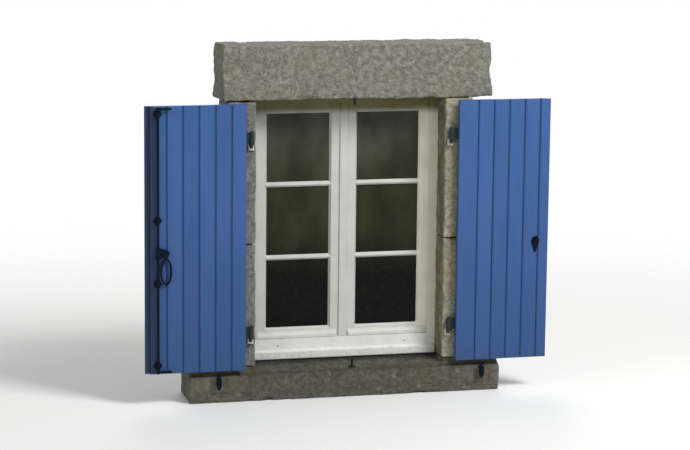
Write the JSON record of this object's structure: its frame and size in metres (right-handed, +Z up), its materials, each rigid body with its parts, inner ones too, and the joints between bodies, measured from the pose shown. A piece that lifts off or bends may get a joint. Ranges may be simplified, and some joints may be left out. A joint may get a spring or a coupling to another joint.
{
  "type": "casement window with boarded shutters",
  "caption": "Boarded wooden shutters with straps, dogs and a turning bolt, hung on pintles in the dressed stones of a glazed casement window.",
  "frame": {"origin": "on the underside of the sill stone, below the middle of the opening, in the plane of the wall face", "axes": "+X to the right as seen from outside, +Y from outside into the room, +Z up"},
  "size_m": [2.143, 0.345, 1.843],
  "materials": {
    "sill_stone": "weathered dressed stone with moss",
    "lintel_stone": "weathered dressed stone with lichen",
    "jamb_stone": "weathered dressed stone",
    "mortar": "pale lime mortar",
    "shutter_paint": "blue satin paint on softwood boards",
    "pintle_iron": "dark painted forged iron",
    "strap_iron": "painted forged iron",
    "tie_rod_steel": "plain steel",
    "screw_steel": "painted steel",
    "shutter_iron": "near-black painted forged iron",
    "window_paint": "warm white paint on timber",
    "window_glass": "clear window glass",
    "hinge_steel": "painted steel",
    "cremone_metal": "dark painted metal"
  },
  "bodies": {
    "masonry": {"sill_stone": "sill_stone", "lintel_stone": "lintel_stone", "jamb_stone_left_lower": "jamb_stone", "jamb_stone_left_upper": "jamb_stone", "jamb_stone_right_lower": "jamb_stone", "jamb_stone_right_upper": "jamb_stone", "pintle_mortar": "mortar", "pintles": "pintle_iron", "bolt_keepers": "shutter_iron", "dog_spikes": "shutter_iron", "frame_left_stile": "window_paint", "frame_right_stile": "window_paint", "frame_head": "window_paint", "frame_sill": "window_paint", "frame_hinges": "hinge_steel", "cremone_keeps": "cremone_metal"},
    "left_shutter": {"left_board_1": "shutter_paint", "left_board_2": "shutter_paint", "left_board_3": "shutter_paint", "left_board_4": "shutter_paint", "left_board_5": "shutter_paint", "left_board_6": "shutter_paint", "left_straps": "strap_iron", "left_strap_screws": "screw_steel", "left_tie_rods": "tie_rod_steel", "bolt_guides": "shutter_iron"},
    "right_shutter": {"right_board_1": "shutter_paint", "right_board_2": "shutter_paint", "right_board_3": "shutter_paint", "right_board_4": "shutter_paint", "right_board_5": "shutter_paint", "right_board_6": "shutter_paint", "right_straps": "strap_iron", "right_strap_screws": "screw_steel", "right_tie_rods": "tie_rod_steel", "shutter_catch": "shutter_iron"},
    "shutter_bolt": {"bolt_rod": "shutter_iron"},
    "bolt_handle": {"bolt_handle": "shutter_iron"},
    "left_dog": {"left_dog": "shutter_iron"},
    "right_dog": {"right_dog": "shutter_iron"},
    "left_sash": {"left_sash_hinge_stile": "window_paint", "left_sash_meeting_stile": "window_paint", "left_sash_top_rail": "window_paint", "left_sash_bottom_rail": "window_paint", "left_sash_bars": "window_paint", "left_sash_panes": "window_glass", "left_sash_hinges": "hinge_steel", "cremone_case": "cremone_metal", "cremone_guides": "cremone_metal"},
    "right_sash": {"right_sash_hinge_stile": "window_paint", "right_sash_meeting_stile": "window_paint", "right_sash_top_rail": "window_paint", "right_sash_bottom_rail": "window_paint", "right_sash_bars": "window_paint", "right_sash_panes": "window_glass", "right_sash_hinges": "hinge_steel", "cover_strip": "window_paint"},
    "cremone_knob": {"cremone_knob": "cremone_metal"},
    "cremone_upper_rod": {"cremone_upper_rod": "cremone_metal"},
    "cremone_lower_rod": {"cremone_lower_rod": "cremone_metal"}
  },
  "joints": [
    {"name": "left_shutter_hinge", "type": "hinge", "parent": "masonry", "child": "left_shutter", "pos_m": [-0.53, -0.02, 0.334], "axis": [0, 0, 1], "range_deg": [0, 180]},
    {"name": "right_shutter_hinge", "type": "hinge", "parent": "masonry", "child": "right_shutter", "pos_m": [0.53, -0.02, 0.334], "axis": [0, 0, -1], "range_deg": [0, 180]},
    {"name": "bolt_turn", "type": "hinge", "parent": "left_shutter", "child": "shutter_bolt", "pos_m": [-1.022, -0.064, 0.8], "axis": [0, 0, -1], "range_deg": [0, 180]},
    {"name": "handle_swing", "type": "hinge", "parent": "shutter_bolt", "child": "bolt_handle", "pos_m": [-0.98, -0.064, 0.8], "axis": [0, -1, 0], "range_deg": [0, 180]},
    {"name": "left_dog_turn", "type": "hinge", "parent": "masonry", "child": "left_dog", "pos_m": [-0.705, -0.057, 0.128], "axis": [0, 1, 0], "range_deg": [0, 180]},
    {"name": "right_dog_turn", "type": "hinge", "parent": "masonry", "child": "right_dog", "pos_m": [0.705, -0.057, 0.128], "axis": [0, -1, 0], "range_deg": [0, 180]},
    {"name": "left_sash_hinge", "type": "hinge", "parent": "masonry", "child": "left_sash", "pos_m": [-0.4765, 0.2215, 0.378], "axis": [0, 0, 1], "range_deg": [0, 100]},
    {"name": "right_sash_hinge", "type": "hinge", "parent": "masonry", "child": "right_sash", "pos_m": [0.4765, 0.2215, 0.378], "axis": [0, 0, -1], "range_deg": [0, 85]},
    {"name": "cremone_knob_turn", "type": "hinge", "parent": "left_sash", "child": "cremone_knob", "pos_m": [-0.003, 0.247, 0.738], "axis": [0, 1, 0], "range_deg": [0, 90]},
    {"name": "cremone_upper_rod_slide", "type": "slide", "parent": "left_sash", "child": "cremone_upper_rod", "axis": [0, 0, 1], "range_m": [0, 0.015]},
    {"name": "cremone_lower_rod_slide", "type": "slide", "parent": "left_sash", "child": "cremone_lower_rod", "axis": [0, 0, -1], "range_m": [0, 0.015]}
  ],
  "couplings": [
    {"joint": "right_sash_hinge", "follows": "left_sash_hinge", "ratio": 0.85},
    {"joint": "cremone_knob_turn", "follows": "cremone_upper_rod_slide", "rad_per_m": 104.72},
    {"joint": "cremone_lower_rod_slide", "follows": "cremone_upper_rod_slide", "ratio": 1}
  ]
}
